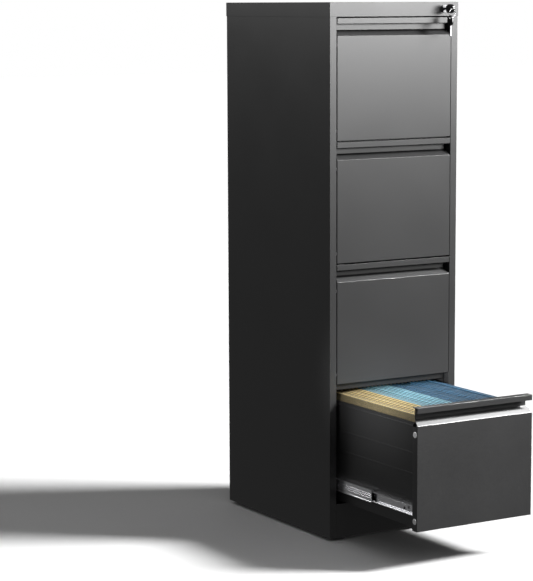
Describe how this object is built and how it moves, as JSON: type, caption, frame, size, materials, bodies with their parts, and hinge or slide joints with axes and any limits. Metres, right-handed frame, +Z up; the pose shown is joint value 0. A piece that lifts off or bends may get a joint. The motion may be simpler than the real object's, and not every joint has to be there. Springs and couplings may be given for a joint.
{
  "type": "metal filing cabinet",
  "caption": "Tall narrow steel filing cabinet with full-width finger-pull drawers on telescopic slides, a top lock and hanging folders in the open bottom drawer.",
  "frame": {"origin": "on the floor at the middle of the cabinet's footprint, between the feet", "axes": "+X to the right seen from the front, drawer fronts face -Y, +Z up; the bottom drawer stands open at rest"},
  "size_m": [0.38, 0.845, 1.33],
  "materials": {
    "grey_powder_coat": "fine satin powder coat, neutral dark grey",
    "front_powder_coat": "fine satin powder coat, neutral grey",
    "drawer_paint": "satin dark grey paint",
    "slide_zinc": "bright zinc plate with faint rolling lines",
    "zinc_plate": "zinc plate",
    "screw_cap_grey": "dull pale grey screw heads",
    "lock_chrome": "bright nickel chrome",
    "key_black": "black moulded cover over a steel blade",
    "foot_plastic": "black moulded plastic",
    "card_yellow": "matt golden yellow card",
    "card_light_blue": "matt light blue card",
    "card_dark_blue": "matt dark blue card"
  },
  "bodies": {
    "cabinet": {"top_cap": "grey_powder_coat", "left_side_panel": "grey_powder_coat", "right_side_panel": "grey_powder_coat", "back_panel": "grey_powder_coat", "base_pan": "grey_powder_coat", "kick_rail": "grey_powder_coat", "uprights": "grey_powder_coat", "cross_rails": "grey_powder_coat", "levelling_feet": "foot_plastic", "foot_nuts": "zinc_plate", "slide_bolts": "zinc_plate", "panel_screws": "zinc_plate", "lock_housing": "lock_chrome", "lock_nut": "zinc_plate", "lock_bar_guides": "foot_plastic", "slide_outer_1": "slide_zinc", "slide_outer_2": "slide_zinc", "slide_outer_3": "slide_zinc", "slide_outer_4": "slide_zinc"},
    "drawer_1": {"drawer_front_1": "front_powder_coat", "drawer_liner_1": "drawer_paint", "drawer_tray_1": "drawer_paint", "drawer_back_1": "drawer_paint", "slide_inner_1": "slide_zinc", "front_screws_1": "screw_cap_grey"},
    "slide_1": {"slide_middle_1": "slide_zinc"},
    "drawer_2": {"drawer_front_2": "front_powder_coat", "drawer_liner_2": "drawer_paint", "drawer_tray_2": "drawer_paint", "drawer_back_2": "drawer_paint", "slide_inner_2": "slide_zinc", "front_screws_2": "screw_cap_grey"},
    "slide_2": {"slide_middle_2": "slide_zinc"},
    "drawer_3": {"drawer_front_3": "front_powder_coat", "drawer_liner_3": "drawer_paint", "drawer_tray_3": "drawer_paint", "drawer_back_3": "drawer_paint", "slide_inner_3": "slide_zinc", "front_screws_3": "screw_cap_grey"},
    "slide_3": {"slide_middle_3": "slide_zinc"},
    "drawer_4": {"drawer_front_4": "front_powder_coat", "drawer_liner_4": "drawer_paint", "drawer_tray_4": "drawer_paint", "drawer_back_4": "drawer_paint", "slide_inner_4": "slide_zinc", "front_screws_4": "screw_cap_grey", "folder_rails": "zinc_plate", "folders_yellow": "card_yellow", "folders_light_blue": "card_light_blue", "folders_dark_blue": "card_dark_blue", "folder_rods": "zinc_plate"},
    "slide_4": {"slide_middle_4": "slide_zinc"},
    "lock_core": {"lock_plug": "lock_chrome", "lock_cam": "zinc_plate", "cam_screw": "zinc_plate"},
    "locking_bar": {"lock_bar": "zinc_plate", "lock_hooks": "zinc_plate"},
    "key_in_lock": {"key": "key_black"},
    "ring_on_key": {"key_ring": "lock_chrome"}
  },
  "joints": [
    {"name": "drawer_1_slide", "type": "slide", "parent": "cabinet", "child": "drawer_1", "axis": [0, -1, 0], "range_m": [0, 0.4]},
    {"name": "slide_1_travel", "type": "slide", "parent": "cabinet", "child": "slide_1", "axis": [0, -1, 0], "range_m": [0, 0.2]},
    {"name": "drawer_2_slide", "type": "slide", "parent": "cabinet", "child": "drawer_2", "axis": [0, -1, 0], "range_m": [0, 0.4]},
    {"name": "slide_2_travel", "type": "slide", "parent": "cabinet", "child": "slide_2", "axis": [0, -1, 0], "range_m": [0, 0.2]},
    {"name": "drawer_3_slide", "type": "slide", "parent": "cabinet", "child": "drawer_3", "axis": [0, -1, 0], "range_m": [0, 0.4]},
    {"name": "slide_3_travel", "type": "slide", "parent": "cabinet", "child": "slide_3", "axis": [0, -1, 0], "range_m": [0, 0.2]},
    {"name": "drawer_4_slide", "type": "slide", "parent": "cabinet", "child": "drawer_4", "axis": [0, -1, 0], "range_m": [-0.345, 0.055]},
    {"name": "slide_4_travel", "type": "slide", "parent": "cabinet", "child": "slide_4", "axis": [0, -1, 0], "range_m": [-0.1725, 0.0275]},
    {"name": "lock_turn", "type": "hinge", "parent": "cabinet", "child": "lock_core", "pos_m": [0.147, -0.25, 1.313], "axis": [0, 1, 0], "range_deg": [0, 90]},
    {"name": "locking_bar_drop", "type": "slide", "parent": "cabinet", "child": "locking_bar", "axis": [0, 0, -1], "range_m": [0, 0.01]},
    {"name": "key_pull", "type": "slide", "parent": "lock_core", "child": "key_in_lock", "axis": [0, -1, 0], "range_m": [0, 0.016]},
    {"name": "ring_swing", "type": "hinge", "parent": "key_in_lock", "child": "ring_on_key", "pos_m": [0.147, -0.285, 1.313], "axis": [1, 0, 0], "range_deg": [-60, 12]}
  ],
  "couplings": [
    {"joint": "slide_1_travel", "follows": "drawer_1_slide", "ratio": 0.5},
    {"joint": "slide_2_travel", "follows": "drawer_2_slide", "ratio": 0.5},
    {"joint": "slide_3_travel", "follows": "drawer_3_slide", "ratio": 0.5},
    {"joint": "slide_4_travel", "follows": "drawer_4_slide", "ratio": 0.5},
    {"joint": "lock_turn", "follows": "locking_bar_drop", "rad_per_m": 157.07}
  ]
}
